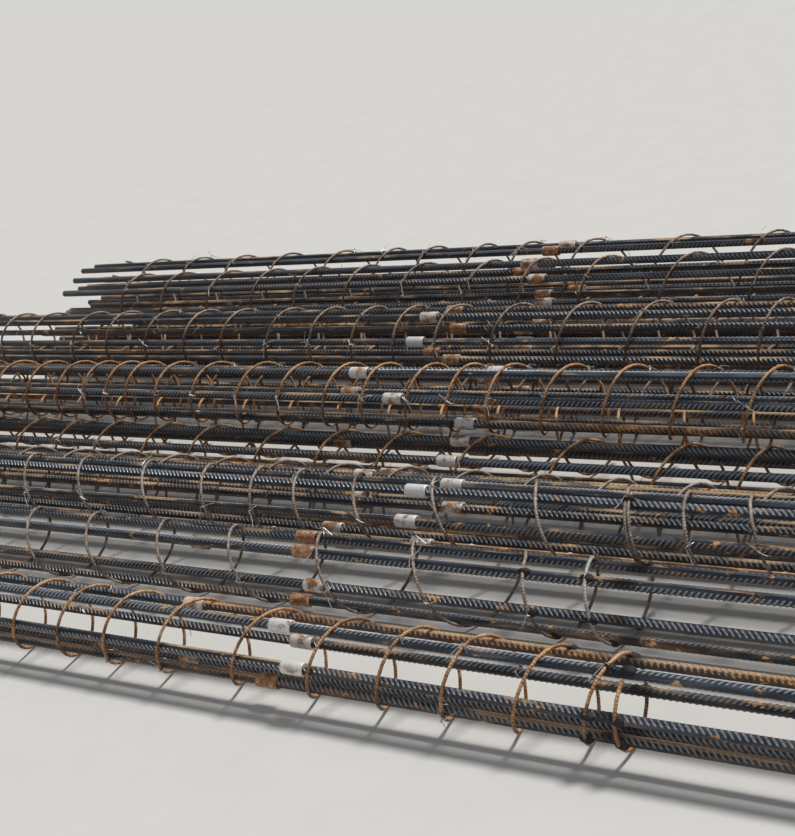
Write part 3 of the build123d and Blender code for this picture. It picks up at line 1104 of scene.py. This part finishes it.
def make_stage():
    """A plain pale floor."""
    paint = Paint("pale_floor")
    grain = paint.noise(paint.place(), (6.0, 6.0, 6.0), 4.0, 0.6)
    material = paint.finish(Base_Color=paint.ramp(grain, FLOOR_STOPS), Roughness=0.9)
    half = FLOOR_HALF
    corners = [(-half, -half, 0), (half, -half, 0), (half, half, 0), (-half, half, 0)]
    floor = mesh_object("floor", corners, [(0, 1, 2, 3)])
    floor.data.materials.append(material)


def make_light():
    """Soft daylight: a pale sky all round and a broad, hazy sun behind the heap to the right."""
    world = bpy.data.worlds.new("pale_sky")
    world.use_nodes = True
    bpy.context.scene.world = world
    sky = world.node_tree.nodes["Background"]
    sky.inputs["Color"].default_value = SKY_COLOUR
    sky.inputs["Strength"].default_value = SKY_STRENGTH
    lamp = bpy.data.lights.new("hazy_sun", "SUN")
    lamp.energy = SUN_STRENGTH
    lamp.angle = SUN_WIDTH
    lamp.color = SUN_COLOUR
    holder = bpy.data.objects.new("hazy_sun", lamp)
    holder.rotation_euler = Vector(SUN_DIRECTION).to_track_quat("-Z", "Y").to_euler()
    bpy.context.scene.collection.objects.link(holder)


def make_camera():
    """The photographer's view."""
    left_of_g, middle_of_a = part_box("cage_g_bars")[0].x, Placed(CAGES[0]).y
    place = Vector((left_of_g + CAMERA_FROM_END, middle_of_a - CAMERA_TO_HEAP, CAMERA_HEIGHT))
    level_share = math.cos(CAMERA_PITCH)
    ahead = Vector((-math.sin(CAMERA_YAW) * level_share, math.cos(CAMERA_YAW) * level_share,
                    -math.sin(CAMERA_PITCH)))
    level = Vector((math.cos(CAMERA_YAW), math.sin(CAMERA_YAW), 0.0))
    over = level.cross(ahead)
    right = level * math.cos(CAMERA_ROLL) + over * math.sin(CAMERA_ROLL)
    up = over * math.cos(CAMERA_ROLL) - level * math.sin(CAMERA_ROLL)
    lens = bpy.data.cameras.new("photographer")
    lens.sensor_width = SENSOR
    lens.lens = CAMERA_FOCAL_PIXELS / FRAME_HEIGHT_PIXELS * SENSOR
    lens.clip_end = CAMERA_REACH
    camera = bpy.data.objects.new("photographer", lens)
    camera.matrix_world = Matrix.Translation(place) @ Matrix((right, up, -ahead)).transposed().to_4x4()
    bpy.context.scene.collection.objects.link(camera)
    bpy.context.scene.camera = camera


make_camera()
make_light()
make_stage()
bpy.context.scene.view_settings.view_transform = "Standard"

wire_paints = {
    "orange_wire": paint_wire("orange_wire_ribbed", WIRE_ORANGE_STOPS, 0.05),
    "brown_wire": paint_wire("brown_wire_ribbed", WIRE_BROWN_STOPS, 0.10),
    "grey_wire": paint_wire("grey_wire_ribbed", WIRE_GREY_STOPS, 0.25),
}
sleeve_paint = paint_sleeves()
tie_paint = paint_ties()
weld_paint = paint_welds()
bars, wires = bars_tree(), wire_tree()
one_shape = scatter_tree("one shape on each point", 1)
tie_kinds = scatter_tree("knots of tie wire", TIE_KINDS)
bar_shapes = (bar_section(), rib_shape(1), rib_shape(-1))
sleeve, weld = sleeve_shape(), weld_shape()
ties = [tie_shape(kind) for kind in range(TIE_KINDS)]

for cage in CAGES:
    placed = Placed(cage)
    soot_at = None if cage.runs_on else placed.left + placed.tops[-1] - SOOT_BEFORE_TOP
    make_bars(placed, bars, bar_shapes, soot_at)
    make_wire(placed, wires, wire_paints)
    make_sleeves(placed, one_shape, sleeve, sleeve_paint)
    if cage.seen_turns:
        make_ties(placed, tie_kinds, ties, tie_paint)
    if not cage.runs_on:
        make_welds(placed, one_shape, weld, weld_paint)
    if cage.name == "cage_c":
        make_lap(placed, wires, wire_paints[cage.wire], one_shape, weld, weld_paint)

for shape in (*bar_shapes, sleeve, weld, *ties):
    bpy.data.objects.remove(shape)
